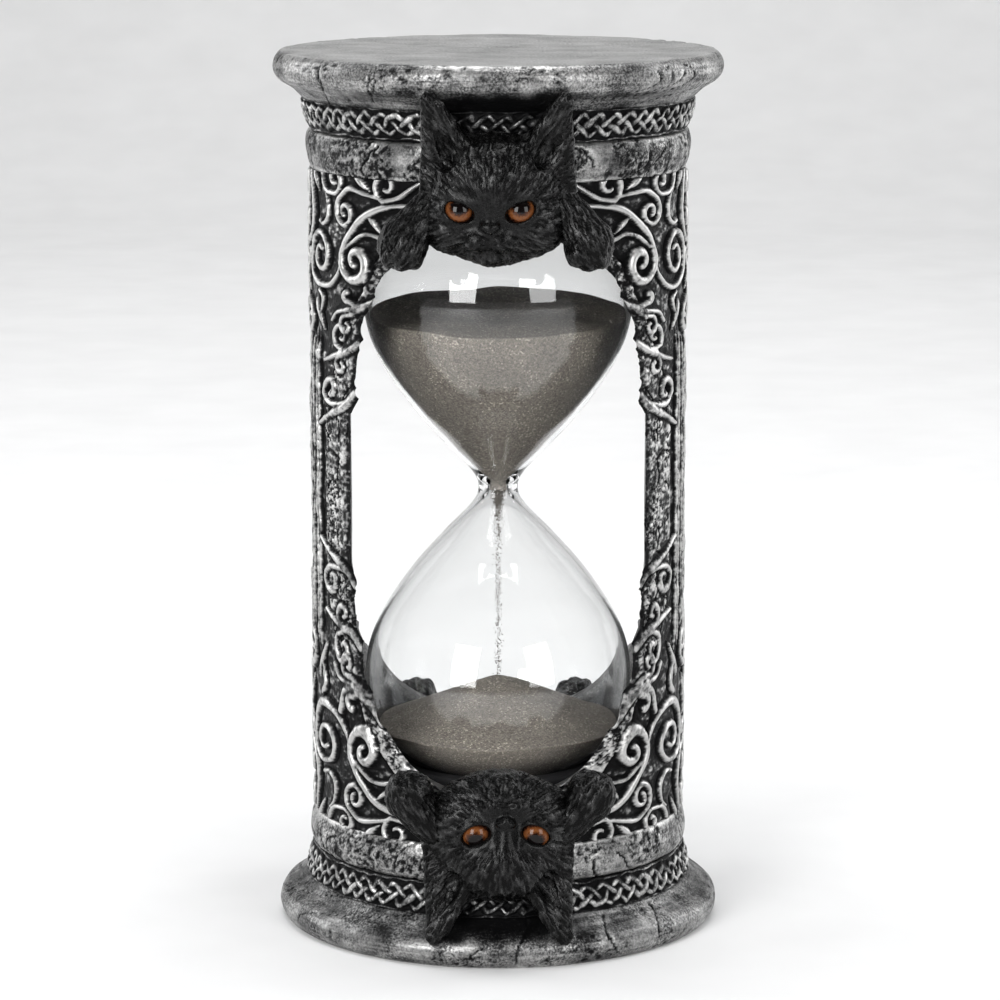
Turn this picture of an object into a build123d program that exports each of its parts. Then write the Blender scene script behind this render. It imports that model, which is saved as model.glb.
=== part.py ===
"""Reversible sand timer in cast resin: two moulded end plates, a pierced sleeve and a blown glass bulb.

Frame: +Z up, the origin at the centre of the lower plate's flat face, -Y the front, millimetres.
The timer stands on either end. Everything at the lower end is repeated at the upper end, turned half a turn
about the Y axis, and the cats at the front are repeated at the rear, turned half a turn about the Z axis.
"""

import os

from build123d import *

# Overall size and the stack of rings at each end, from the flat face inwards
HEIGHT = 185.0
MID_HEIGHT = HEIGHT / 2
PLATE_FLAT_RADIUS = 45.4
PLATE_LIP_RADIUS = 47.0
PLATE_LIP_HEIGHT = 6.0
PLATE_THICKNESS = 9.4
BAND_HEIGHT = 6.6
COLLAR_HEIGHT = 8.0
BAND_OUTER_RADIUS = 41.0
BAND_INNER_RADIUS = 39.4
COLLAR_RADIUS = 39.2
COLLAR_BULGE = 1.4
SHOULDER_HOLLOW = (43.05, 7.45)
BAND_START = PLATE_THICKNESS
COLLAR_START = BAND_START + BAND_HEIGHT
SLEEVE_START = COLLAR_START + COLLAR_HEIGHT
SLEEVE_END = HEIGHT - SLEEVE_START

# The sleeve, and the boss on each plate that it and the rings slide over
SLEEVE_RADIUS = 39.2
SLEEVE_BORE_RADIUS = 35.0
GLUE_GAP = 0.1
BOSS_RADIUS = SLEEVE_BORE_RADIUS - GLUE_GAP
BOSS_END = SLEEVE_START + 4.0

# The windows at the front and rear: straight jambs and elliptical arches, with a raised border
WINDOW_HALF_WIDTH = 31.0
ARCH_SPRING = 63.0
ARCH_RISE = 29.5
BORDER_WIDTH = 3.0
BORDER_PROUD = 0.8

# The glass bulb; its outline is in steps of distance from mid height and outer radius
GLASS_WALL = 1.5
BULB_HALF_LENGTH = 62.3
BULB_CENTRE = 38.0
BULB_RADIUS = 28.4
NECK_RADIUS = 4.2
BULB_OUTLINE = (
    (3.5, 5.6),
    (10.0, 11.8),
    (17.0, 18.0),
    (25.0, 23.6),
    (32.0, 27.0),
    (39.5, 28.4),
    (47.0, 27.8),
    (54.5, 24.2),
    (60.0, 15.6),
)
ORIFICE_RADIUS = 0.9
FILLING_HOLE_RADIUS = 4.0
HOLE_DROP = 0.2
STOPPER_CLEARANCE = 0.05
STOPPER_HEAD_RADIUS = 6.0
STOPPER_HEAD = 2.6
STOPPER_SHANK = 5.0

# The foam cushions that hold the bulb's ends in pockets in the bosses
CUSHION_RADIUS = 24.0
CUSHION_BORE_RADIUS = 8.0
CUSHION_START = BOSS_END - 6.0
CUSHION_END = 34.0

# The sand
SAND_GAP = 0.1
SAND_LEVEL = 129.7
SAND_TILT = 3.6
CRATER_RADIUS = 17.0
CRATER_DEPTH = 2.5
PILE_PEAK = 51.0
PILE_EDGE = 42.0
PILE_RADIUS = 26.0
STREAM_RADIUS = 0.7
STREAM_TOP = MID_HEIGHT + 0.3
STREAM_GAP = 0.1

# The upper front cat: its eyes, ears and paws are places to each side of the timer's axis, and its face is
# turned a little, so that the eyes and muzzle are off to one side
FACE_OFFSET = -1.7
SKULL_CENTRE = (0.0, -38.5, 159.0)
SKULL_RADII = (15.0, 10.5, 13.0)
BROW_CENTRE = (-0.8, -42.0, 162.5)
BROW_RADII = (11.5, 9.0, 8.4)
MUZZLE_CENTRE = (FACE_OFFSET, -40.4, 150.8)
MUZZLE_RADII = (7.6, 6.6, 6.4)
EYE_CENTRE = (6.1, -45.9, 156.4)
EYE_RADIUS = 3.0
EAR_BASE = (8.9, -41.5, 164.5)
EAR_TIP = (13.8, -45.3, 178.6)
EAR_BASE_RADII = (6.8, 3.4)
EAR_TIP_RADII = (0.9, 0.7)
PAW_CENTRE = (18.1, -41.0, 148.6)
PAW_RADIUS = 5.2
FORELEG_RADIUS = 4.4
SHOULDER = (12.6, -40.6, 160.0)


def revolved(*edges):
    """A solid of revolution about Z from a closed outline of edges in the XZ plane."""
    return revolve(make_face(Curve() + list(edges)), Axis.Z)


def at_other_end(shape):
    """The same shape at the upper end: half a turn about the Y axis at mid height."""
    return Pos(0, 0, HEIGHT) * Rot(0, 180, 0) * shape


def at_rear(shape):
    """The same shape at the rear: half a turn about the Z axis."""
    return Rot(0, 0, 180) * shape


def on_profile(radius, height):
    """A point of an outline in the XZ plane."""
    return Vector(radius, 0, height)


def outline(*points):
    """Straight runs from one point of an XZ outline to the next."""
    return [Line(on_profile(*a), on_profile(*b)) for a, b in zip(points, points[1:])]


def end_plate():
    """A moulded plate: a rounded lip, a sloping shoulder, and the boss that centres the rings and sleeve."""
    lip = ThreePointArc(
        on_profile(PLATE_FLAT_RADIUS, 0),
        on_profile(PLATE_LIP_RADIUS, PLATE_LIP_HEIGHT / 2),
        on_profile(PLATE_FLAT_RADIUS, PLATE_LIP_HEIGHT),
    )
    shoulder = ThreePointArc(
        on_profile(PLATE_FLAT_RADIUS, PLATE_LIP_HEIGHT),
        on_profile(*SHOULDER_HOLLOW),
        on_profile(BAND_OUTER_RADIUS, PLATE_THICKNESS),
    )
    rest = outline(
        (BAND_OUTER_RADIUS, PLATE_THICKNESS),
        (BOSS_RADIUS, PLATE_THICKNESS),
        (BOSS_RADIUS, BOSS_END),
        (CUSHION_RADIUS + GLUE_GAP, BOSS_END),
        (CUSHION_RADIUS + GLUE_GAP, CUSHION_START),
        (0, CUSHION_START),
        (0, 0),
        (PLATE_FLAT_RADIUS, 0),
    )
    return revolved(lip, shoulder, *rest)


def knotwork_band():
    """The tapering ring that carries the knotwork."""
    return revolved(
        *outline(
            (SLEEVE_BORE_RADIUS, BAND_START),
            (BAND_OUTER_RADIUS, BAND_START),
            (BAND_INNER_RADIUS, COLLAR_START),
            (SLEEVE_BORE_RADIUS, COLLAR_START),
            (SLEEVE_BORE_RADIUS, BAND_START),
        )
    )


def collar():
    """The plain ring with a bulging outer face."""
    bulge = ThreePointArc(
        on_profile(COLLAR_RADIUS, COLLAR_START),
        on_profile(COLLAR_RADIUS + COLLAR_BULGE, COLLAR_START + COLLAR_HEIGHT * 0.45),
        on_profile(COLLAR_RADIUS, SLEEVE_START),
    )
    rest = outline(
        (COLLAR_RADIUS, SLEEVE_START),
        (SLEEVE_BORE_RADIUS, SLEEVE_START),
        (SLEEVE_BORE_RADIUS, COLLAR_START),
        (COLLAR_RADIUS, COLLAR_START),
    )
    return revolved(bulge, *rest)


def window_prism(margin):
    """The window's outline, wider by a margin, run right through the sleeve from front to rear."""
    half_width = WINDOW_HALF_WIDTH + margin
    rise = ARCH_RISE + margin
    jambs = Rectangle(2 * half_width, HEIGHT - 2 * ARCH_SPRING)
    arch_offset = MID_HEIGHT - ARCH_SPRING
    face = (
        jambs
        + Pos(0, arch_offset) * Ellipse(half_width, rise)
        + Pos(0, -arch_offset) * Ellipse(half_width, rise)
    )
    plane = Plane(origin=(0, 0, MID_HEIGHT), x_dir=(1, 0, 0), z_dir=(0, -1, 0))
    return extrude(plane * face, PLATE_LIP_RADIUS, both=True)


def tube(outer_radius, inner_radius, start, end):
    """A plain ring or tube between two heights."""
    ring = Circle(outer_radius) - Circle(inner_radius)
    return extrude(Pos(0, 0, start) * ring, end - start)


def rod(radius, start, end):
    """A solid cylinder between two heights."""
    return extrude(Pos(0, 0, start) * Circle(radius), end - start)


def sleeve():
    """The tube between the collars with its two windows, each inside a raised border."""
    wall = tube(SLEEVE_RADIUS, SLEEVE_BORE_RADIUS, SLEEVE_START, SLEEVE_END)
    proud = tube(SLEEVE_RADIUS + BORDER_PROUD, SLEEVE_BORE_RADIUS, SLEEVE_START, SLEEVE_END)
    return wall + (proud & window_prism(BORDER_WIDTH)) - window_prism(0)


def inset_point(reach, radius, inset):
    """A point of the bulb's outline moved in by a wall: straight in, or towards the round end's centre."""
    if reach < BULB_CENTRE:
        return reach, radius - inset
    shrink = 1 - inset / BULB_RADIUS
    return BULB_CENTRE + (reach - BULB_CENTRE) * shrink, radius * shrink


def bulb_line(inset=0.0, neck_radius=NECK_RADIUS):
    """The bulb's outline in the XZ plane, from its closed lower end to the filling hole in its upper end."""
    half = [inset_point(reach, radius, inset) for reach, radius in BULB_OUTLINE]
    points = [on_profile(0, MID_HEIGHT - bulb_end(inset))]
    points += [on_profile(radius, MID_HEIGHT - reach) for reach, radius in reversed(half)]
    points += [on_profile(neck_radius, MID_HEIGHT)]
    points += [on_profile(radius, MID_HEIGHT + reach) for reach, radius in half]
    points += [on_profile(FILLING_HOLE_RADIUS, MID_HEIGHT + bulb_end(inset) - HOLE_DROP)]
    return Spline(points, tangents=[(1, 0, 0), (-1, 0, 2 * HOLE_DROP / FILLING_HOLE_RADIUS)])


def bulb_end(inset=0.0):
    """How far from mid height the bulb's end is, for the outer face or for a surface inside it."""
    return inset_point(BULB_HALF_LENGTH, 0, inset)[0]


def bulb_filled(inset, neck_radius):
    """Everything inside one of the bulb's surfaces."""
    top = MID_HEIGHT + bulb_end(inset) - HOLE_DROP
    closing = outline((FILLING_HOLE_RADIUS, top), (0, top), (0, MID_HEIGHT - bulb_end(inset)))
    return revolved(bulb_line(inset, neck_radius), *closing)


def bulb_outside():
    """The filled shape of the whole bulb."""
    return bulb_filled(0.0, NECK_RADIUS)


def bulb_inside():
    """The space for sand: it narrows at mid height to the small hole that meters it, and clears the wall."""
    return bulb_filled(GLASS_WALL + SAND_GAP, ORIFICE_RADIUS - SAND_GAP / 2)


def glass_wall():
    """The blown wall between the two outlines, open at the filling hole in its upper end."""
    outer_end, inner_end = bulb_end(), bulb_end(GLASS_WALL)
    hole_edge = outline(
        (FILLING_HOLE_RADIUS, MID_HEIGHT + outer_end - HOLE_DROP),
        (FILLING_HOLE_RADIUS, MID_HEIGHT + inner_end - HOLE_DROP),
    )
    closed_end = outline((0, MID_HEIGHT - outer_end), (0, MID_HEIGHT - inner_end))
    return revolved(bulb_line(), bulb_line(GLASS_WALL, ORIFICE_RADIUS), *hole_edge, *closed_end)


def stopper():
    """The stopper in the filling hole: a shank and a wider head that bears on the glass."""
    seat = MID_HEIGHT + BULB_HALF_LENGTH
    shank = rod(FILLING_HOLE_RADIUS - STOPPER_CLEARANCE, seat - STOPPER_SHANK, seat)
    head = rod(STOPPER_HEAD_RADIUS, seat, seat + STOPPER_HEAD)
    return shank + head


def cushions():
    """Two foam rings that fill the pockets in the bosses, each dished to its end of the bulb."""
    ring = tube(CUSHION_RADIUS, CUSHION_BORE_RADIUS, CUSHION_START, CUSHION_END)
    return ring - bulb_outside(), at_other_end(ring) - bulb_outside()


def sand_above():
    """The sand still in the upper half: a funnel with a crater, its surface a little tilted."""
    width = 2 * PLATE_LIP_RADIUS
    below_surface = (Align.CENTER, Align.CENTER, Align.MAX)
    above_floor = (Align.CENTER, Align.CENTER, Align.MIN)
    slab = Pos(0, 0, SAND_LEVEL) * Rot(SAND_TILT, 0, 0) * Box(width, width, HEIGHT, align=below_surface)
    crater = Pos(0, 0, SAND_LEVEL - CRATER_DEPTH) * Cone(
        STREAM_RADIUS, CRATER_RADIUS, CRATER_DEPTH * 2, align=above_floor
    )
    floor = Pos(0, 0, STREAM_TOP + STREAM_GAP) * Box(width, width, HEIGHT, align=above_floor)
    return (bulb_inside() & slab & floor) - crater


def sand_below():
    """The pile in the lower half, a flat cone."""
    pile = revolved(
        *outline(
            (0, 0),
            (PLATE_LIP_RADIUS, 0),
            (PLATE_LIP_RADIUS, PILE_EDGE),
            (PILE_RADIUS, PILE_EDGE),
            (STREAM_RADIUS, PILE_PEAK),
            (0, PILE_PEAK),
            (0, 0),
        )
    )
    return bulb_inside() & pile


def sand_stream():
    """The thin stream from the neck to the top of the pile."""
    return rod(STREAM_RADIUS, PILE_PEAK + STREAM_GAP, STREAM_TOP)


def ellipsoid(centre, radii):
    """An ellipsoid with its own radii along X, Y and Z."""
    return Pos(*centre) * scale(Sphere(1), by=radii)


def limb(start, end, start_radii, end_radii):
    """A tapering limb of elliptical section between two points."""
    along = Vector(*end) - Vector(*start)
    sections = []
    for point, radii in ((start, start_radii), (end, end_radii)):
        plane = Plane(origin=point, x_dir=(along.Z, 0, -along.X), z_dir=along)
        sections.append(plane * Ellipse(*radii))
    return loft(sections)


def to_side(side, point, offset=0.0):
    """A point placed to one side, -1 or 1, of the timer's axis or of a line offset from it."""
    return (offset + side * point[0], point[1], point[2])


def frame_core(sleeve_solid, rings):
    """What the cats are cast against: the frame's outside, filled, with the windows open."""
    core = rod(SLEEVE_RADIUS, SLEEVE_START, SLEEVE_END) - window_prism(0)
    for solid in (sleeve_solid, *rings):
        core += solid
    return core


def cat_eyes():
    """Two domed eyes, one to each side."""
    return [Pos(*to_side(side, EYE_CENTRE, FACE_OFFSET)) * Sphere(EYE_RADIUS) for side in (-1, 1)]


def cat_head(core):
    """A cat's head that looks down over the arch: skull, brow, muzzle and two upright ears."""
    head = (
        ellipsoid(SKULL_CENTRE, SKULL_RADII)
        + ellipsoid(BROW_CENTRE, BROW_RADII)
        + ellipsoid(MUZZLE_CENTRE, MUZZLE_RADII)
    )
    for side in (-1, 1):
        head += limb(to_side(side, EAR_BASE), to_side(side, EAR_TIP), EAR_BASE_RADII, EAR_TIP_RADII)
    for eye in cat_eyes():
        head -= eye
    return head - core


def cat_paws(core, head):
    """Two forelegs that come from under the head and hang over the arch, each with a round paw."""
    paws = []
    for side in (-1, 1):
        toe = Vector(*to_side(side, PAW_CENTRE))
        shoulder = Vector(*to_side(side, SHOULDER))
        along = shoulder - toe
        leg = extrude(Plane(origin=toe, z_dir=along) * Circle(FORELEG_RADIUS), along.length)
        paw = Pos(*toe) * Sphere(PAW_RADIUS) + leg + Pos(*shoulder) * Sphere(FORELEG_RADIUS)
        paws.append(paw - core - head)
    return paws


def largest(shape):
    """The largest solid of a shape, without the crumbs that a cut can leave."""
    return max(shape.solids(), key=lambda solid: solid.volume)


def write(name, *solids):
    """One STEP file for one node."""
    shape = solids[0] if len(solids) == 1 else Compound(children=list(solids))
    export_step(shape, f"parts/{name}.step")


def main():
    os.makedirs("parts", exist_ok=True)
    plate, band, ring, tube_solid = end_plate(), knotwork_band(), collar(), sleeve()
    for name, solid in (("plate", plate), ("knotwork_band", band), ("collar", ring)):
        write(f"lower_{name}", solid)
        write(f"upper_{name}", at_other_end(solid))
    write("pierced_sleeve", tube_solid)

    write("glass_bulb", glass_wall())
    write("filling_stopper", stopper())
    lower_cushion, upper_cushion = cushions()
    write("lower_bulb_cushion", lower_cushion)
    write("upper_bulb_cushion", upper_cushion)
    write("upper_sand", sand_above())
    write("falling_sand", sand_stream())
    write("lower_sand", sand_below())

    core = frame_core(tube_solid, [at_other_end(s) for s in (plate, band, ring)])
    head = largest(cat_head(core))
    paws = [largest(paw) for paw in cat_paws(core, head)]
    eyes = cat_eyes()
    for part, solids in (("head", [head]), ("paws", paws), ("eyes", eyes)):
        write(f"upper_front_cat_{part}", *solids)
        write(f"upper_rear_cat_{part}", *(at_rear(s) for s in solids))
        write(f"lower_front_cat_{part}", *(at_other_end(s) for s in solids))
        write(f"lower_rear_cat_{part}", *(at_rear(at_other_end(s)) for s in solids))


main()
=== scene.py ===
import math
import random

import bpy
import numpy as np
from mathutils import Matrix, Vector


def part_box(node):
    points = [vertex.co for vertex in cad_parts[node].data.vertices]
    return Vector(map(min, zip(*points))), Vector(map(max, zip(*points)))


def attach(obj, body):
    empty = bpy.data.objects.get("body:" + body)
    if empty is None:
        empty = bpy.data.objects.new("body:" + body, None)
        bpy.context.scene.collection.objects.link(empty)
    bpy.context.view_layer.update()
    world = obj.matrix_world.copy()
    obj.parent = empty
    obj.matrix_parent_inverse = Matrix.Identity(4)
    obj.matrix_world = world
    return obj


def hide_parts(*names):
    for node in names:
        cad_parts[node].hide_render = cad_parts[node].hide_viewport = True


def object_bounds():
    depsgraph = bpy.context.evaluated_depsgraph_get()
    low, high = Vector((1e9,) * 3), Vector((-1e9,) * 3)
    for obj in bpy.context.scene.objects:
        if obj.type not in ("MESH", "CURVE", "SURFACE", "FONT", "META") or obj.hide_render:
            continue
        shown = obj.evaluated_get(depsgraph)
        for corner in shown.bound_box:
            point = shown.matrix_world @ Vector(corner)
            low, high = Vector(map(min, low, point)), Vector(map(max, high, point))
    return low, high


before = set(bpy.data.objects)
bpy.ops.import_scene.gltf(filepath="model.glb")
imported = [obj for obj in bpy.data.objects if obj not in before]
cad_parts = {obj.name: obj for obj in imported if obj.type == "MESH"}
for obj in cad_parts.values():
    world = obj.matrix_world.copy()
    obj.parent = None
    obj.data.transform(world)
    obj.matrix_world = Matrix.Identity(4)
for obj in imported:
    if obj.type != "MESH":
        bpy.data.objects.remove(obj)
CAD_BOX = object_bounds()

import openvdb
from mathutils import Vector

# The hourglass is worked out in millimetres in the CAD frame: +Z up, the front along -Y. new_piece turns
# millimetres into metres. The rings, plates and cats of one end are the other's, turned half a turn about Y
# at mid height, so a height in the upper half stands for its mirror below as well.
MM = 0.001
BODY = "root"
HEIGHT = CAD_BOX[1].z / MM
MID = HEIGHT / 2


def heights(node):
    """The lowest and highest point of a CAD node in millimetres."""
    low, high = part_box(node)
    return low.z / MM, high.z / MM


# ---- small tools


def smoothstep(low, high, x):
    t = unit((x - low) / (high - low))
    return t * t * (3 - 2 * t)


def fade(low, high, x):
    """1 below low, falling smoothly to 0 above high."""
    return 1 - smoothstep(low, high, x)


def unit(x):
    return np.clip(x, 0, 1)


def full_turn(columns):
    """Angles evenly round a circle."""
    return np.linspace(0, math.tau, columns, endpoint=False)


def hashed(ix, iy, iz, seed):
    """A repeatable value from -1 to 1 for each whole-number lattice point."""
    h = (ix * 374761393 + iy * 668265263 + iz * 1442695041 + seed * 974634777) & 0xFFFFFFFF
    h = ((h ^ (h >> 13)) * 1274126177) & 0xFFFFFFFF
    h = ((h ^ (h >> 16)) * 2246822519) & 0xFFFFFFFF
    return ((h ^ (h >> 15)) & 0xFFFF) / 32767.5 - 1


def noise(x, y, z, seed=0):
    """Smooth value noise from -1 to 1, one feature per unit."""
    cells = [np.floor(a) for a in (x, y, z)]
    whole = [c.astype(np.int64) for c in cells]
    fx, fy, fz = [(a - c) ** 2 * (3 - 2 * (a - c)) for a, c in zip((x, y, z), cells)]
    total = 0
    for dx in (0, 1):
        for dy in (0, 1):
            for dz in (0, 1):
                weight = (fx if dx else 1 - fx) * (fy if dy else 1 - fy) * (fz if dz else 1 - fz)
                total = total + weight * hashed(whole[0] + dx, whole[1] + dy, whole[2] + dz, seed)
    return total


def rough(x, y, z, size, seed=0, octaves=3):
    """Noise in several sizes, the largest being size millimetres across."""
    total, weight = 0, 1.0
    for octave in range(octaves):
        scale = 2**octave / size
        total = total + weight * noise(x * scale, y * scale, z * scale, seed + octave)
        weight *= 0.55
    return total


def curve_through(points, step=0.25):
    """A smooth curve through points (Catmull-Rom), sampled every step or so."""
    p = np.array(points, float)
    p = np.vstack([2 * p[0] - p[1], p, 2 * p[-1] - p[-2]])
    found = []
    for a, b, c, d in zip(p, p[1:], p[2:], p[3:]):
        count = max(2, int(np.linalg.norm(c - b) / step))
        t = np.linspace(0, 1, count, endpoint=False)[:, None]
        found.append(
            0.5 * (2 * b + (c - a) * t + (2 * a - 5 * b + 4 * c - d) * t**2 + (3 * b - a - 3 * c + d) * t**3)
        )
    found.append(p[-2][None])
    return np.vstack(found)


def add_object(name, data):
    made = bpy.data.objects.new(name, data)
    bpy.context.scene.collection.objects.link(made)
    return made


def add_mesh(name, points, faces, material):
    """A smooth-shaded mesh object from points in metres."""
    mesh = bpy.data.meshes.new(name)
    mesh.from_pydata(points, [], faces)
    mesh.validate()
    mesh.polygons.foreach_set("use_smooth", [True] * len(mesh.polygons))
    mesh.materials.append(material)
    return add_object(name, mesh)


def new_piece(name, points, faces, material, node, tone=None):
    """A mesh piece from millimetre points; tone is one number per point for its material."""
    piece = add_mesh(name, (np.asarray(points) * MM).tolist(), faces, material)
    if tone is not None:
        layer = piece.data.attributes.new("tone", "FLOAT", "POINT")
        layer.data.foreach_set("value", np.asarray(tone, np.float32))
    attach(piece, BODY)
    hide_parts(node)
    return piece


def ringed_faces(rows, columns, loop=False):
    """Quads between rings of points, with flat caps, or with the last ring joined to the first."""
    r, c = np.meshgrid(np.arange(rows - 1), np.arange(columns), indexing="ij")
    here, beyond = r * columns + c, r * columns + (c + 1) % columns
    faces = np.stack([here, beyond, beyond + columns, here + columns], -1).reshape(-1, 4).tolist()
    last = (rows - 1) * columns
    if loop:
        return faces + [[last + c, last + (c + 1) % columns, (c + 1) % columns, c] for c in range(columns)]
    return faces + [list(range(columns))[::-1], list(range(last, last + columns))]


def turned_over(points):
    """Half a turn about Y at mid height."""
    return np.stack([-points[:, 0], points[:, 1], HEIGHT - points[:, 2]], 1)


def turned_round(points):
    """Half a turn about Z."""
    return np.stack([-points[:, 0], -points[:, 1], points[:, 2]], 1)


def end_piece(place, name, points, faces, material, node, tone=None):
    """A piece made at the lower end, or turned over for the upper end."""
    if place == "upper":
        points = turned_over(points)
    return new_piece(f"{place}_{name}", points, faces, material, f"{place}_{node}", tone)


PLACES = {
    "upper_front": lambda p: p,
    "upper_rear": turned_round,
    "lower_front": turned_over,
    "lower_rear": lambda p: turned_round(turned_over(p)),
}

# ---- materials


class Graph:
    """A new material or world and its node tree, with short calls to fill it."""

    def __init__(self, name, kind="materials", shader="Principled BSDF"):
        self.owner = getattr(bpy.data, kind).new(name)
        self.owner.use_nodes = True
        self.tree = self.owner.node_tree
        self.shader = self.tree.nodes[shader]

    def node(self, kind, inputs=None, **settings):
        made = self.tree.nodes.new("ShaderNode" + kind)
        for key, value in settings.items():
            setattr(made, key, value)
        for key, value in (inputs or {}).items():
            self.put(made.inputs[key], value)
        return made

    def put(self, socket, value):
        if isinstance(value, bpy.types.NodeSocket):
            self.tree.links.new(value, socket)
        else:
            socket.default_value = value

    def set(self, **values):
        for key, value in values.items():
            self.put(self.shader.inputs[key.replace("_", " ")], value)

    def math(self, operation, total, *values):
        """The values taken together from left to right."""
        for value in values:
            total = self.node("Math", {0: total, 1: value}, operation=operation).outputs[0]
        return total

    def object_coordinates(self, stretch=(1, 1, 1)):
        place = self.node("TexCoord").outputs["Object"]
        return self.node("Mapping", {"Vector": place, "Scale": stretch}).outputs[0]

    def noise(self, size_mm, detail=3.0, roughness=0.6, stretch=(1, 1, 1)):
        inputs = {
            "Vector": self.object_coordinates(stretch),
            "Scale": 1 / (size_mm * MM),
            "Detail": detail,
            "Roughness": roughness,
        }
        return self.node("TexNoise", inputs).outputs["Fac"]

    def ramp(self, value, *stops):
        made = self.node("ValToRGB", {"Fac": value})
        elements = made.color_ramp.elements
        while len(elements) < len(stops):
            elements.new(1.0)
        for element, (place, colour) in zip(elements, stops):
            element.position = place
            element.color = (*colour, 1) if isinstance(colour, tuple) else (colour, colour, colour, 1)
        return made.outputs["Color"]

    def span(self, value, low, high, to_low=0.0, to_high=1.0):
        inputs = {"Value": value, "From Min": low, "From Max": high, "To Min": to_low, "To Max": to_high}
        return self.node("MapRange", inputs).outputs[0]

    def swing(self, value, reach):
        """Noise stretched to run from -reach to reach."""
        return self.span(value, 0.3, 0.7, -reach, reach)

    def tone(self):
        return self.node("Attribute", attribute_name="tone").outputs["Fac"]

    def bump(self, height, distance_mm, strength=1.0):
        inputs = {"Height": height, "Distance": distance_mm * MM, "Strength": strength}
        return self.node("Bump", inputs).outputs[0]


def antique_silver(name, streak=0.0, speckle=0.25, broad_swing=0.1):
    """Silver paint worn back over black: tone 0 is a black recess and tone 1 a worn edge; on some pieces
    tone also carries painted shade and painted light.
    """
    g = Graph(name)
    fine = g.noise(0.5, detail=4, roughness=0.7)
    broad = g.noise(6.0, detail=3)
    streaks = g.noise(1.3, detail=4, roughness=0.65, stretch=(0.1, 0.1, 1.6))
    patchy = g.span(g.noise(9.0, detail=2), 0.35, 0.65, 0.5, 1.3)
    speckles = g.math("MULTIPLY", patchy, g.span(fine, 0.25, 0.75, -speckle, speckle))
    level = g.math("ADD", g.tone(), speckles, g.swing(broad, broad_swing), g.swing(streaks, streak))
    colour = g.ramp(
        level,
        (0.1, (0.002, 0.002, 0.0022)),
        (0.35, (0.012, 0.012, 0.0123)),
        (0.52, (0.075, 0.075, 0.075)),
        (0.7, (0.24, 0.239, 0.236)),
        (0.88, (0.42, 0.418, 0.411)),
        (1.0, (0.52, 0.517, 0.51)),
    )
    g.set(Base_Color=colour, Metallic=g.span(level, 0.3, 0.7, 0.15, 0.85))
    g.set(Roughness=g.span(level, 0.2, 0.9, 0.5, 0.32))
    g.set(Specular_IOR_Level=g.span(level, 0.3, 0.6, 0.08, 0.35))
    grain = g.math("ADD", g.math("MULTIPLY", fine, 0.7), g.math("MULTIPLY", streaks, 0.6))
    g.set(Normal=g.bump(grain, 0.12, 0.8))
    return g.owner


def black_fur():
    """Black satin paint over combed fur; the raised tufts are painted a little grey, a painted highlight."""
    g = Graph("cat_black")
    grain = g.noise(0.35, detail=3)
    painted_tuft_highlight = g.math("ADD", g.tone(), g.swing(grain, 0.15))
    g.set(Base_Color=g.ramp(painted_tuft_highlight, (0.35, 0.0012), (0.8, 0.005), (1.0, 0.03)))
    g.set(Roughness=g.span(grain, 0.3, 0.7, 0.2, 0.36))
    g.set(Specular_IOR_Level=g.span(painted_tuft_highlight, 0.3, 0.8, 0.1, 0.34))
    g.set(Normal=g.bump(grain, 0.08, 0.6))
    return g.owner


def amber_eye():
    """Amber enamel and a black pupil under clear gloss; tone is the distance from the pupil's middle."""
    g = Graph("cat_eye")
    veins = g.noise(0.5, detail=3)
    edge = g.math("ADD", g.tone(), g.swing(veins, 0.08))
    iris = g.ramp(
        edge,
        (0.4, (0.003, 0.002, 0.002)),
        (0.5, (0.05, 0.015, 0.005)),
        (0.66, (0.15, 0.052, 0.016)),
        (0.84, (0.11, 0.035, 0.011)),
        (0.96, (0.016, 0.005, 0.003)),
    )
    g.set(Base_Color=iris, Roughness=0.5, Specular_IOR_Level=0.0, Coat_Weight=0.5, Coat_Roughness=0.02)
    return g.owner


def clear_glass():
    g = Graph("clear_glass")
    g.set(Base_Color=(0.985, 0.99, 0.99, 1), Roughness=0.0, IOR=1.47, Transmission_Weight=1.0)
    return g.owner


def sand_grains():
    """Fine taupe sand: each grain its own shade, with a few pale glints."""
    g = Graph("sand")
    vector = g.object_coordinates()
    cells = g.node("TexVoronoi", {"Vector": vector, "Scale": 1 / (0.26 * MM)})
    shade = g.node("SeparateColor", {"Color": cells.outputs["Color"]}).outputs[0]
    patches = g.noise(9.0, detail=3)
    colour = g.ramp(
        g.math("ADD", shade, g.swing(patches, 0.12)),
        (0.0, (0.061, 0.053, 0.045)),
        (0.45, (0.111, 0.098, 0.082)),
        (0.92, (0.162, 0.144, 0.121)),
        (0.99, (0.3, 0.272, 0.225)),
    )
    # Painted light: where tone is high, on the sand's side against the glass, the colour is mixed towards a
    # pale sand colour.
    painted_light_mix = g.node("MixRGB", {"Fac": g.tone(), "Color1": colour, "Color2": (0.3, 0.27, 0.227, 1)})
    g.set(Base_Color=painted_light_mix.outputs[0], Roughness=g.span(shade, 0.9, 1.0, 0.85, 0.4))
    g.set(Normal=g.bump(cells.outputs["Distance"], 0.15, 0.8))
    return g.owner


def dull(name, colour, roughness, grain_mm, depth_mm):
    """A plain moulded surface with a fine grain."""
    g = Graph(name)
    grain = g.noise(grain_mm, detail=4)
    low = tuple(c * 0.75 for c in colour)
    g.set(Base_Color=g.ramp(grain, (0.3, low), (0.7, colour)), Roughness=roughness)
    g.set(Normal=g.bump(grain, depth_mm, 0.8))
    return g.owner


# ---- relief in unrolled millimetres


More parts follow.
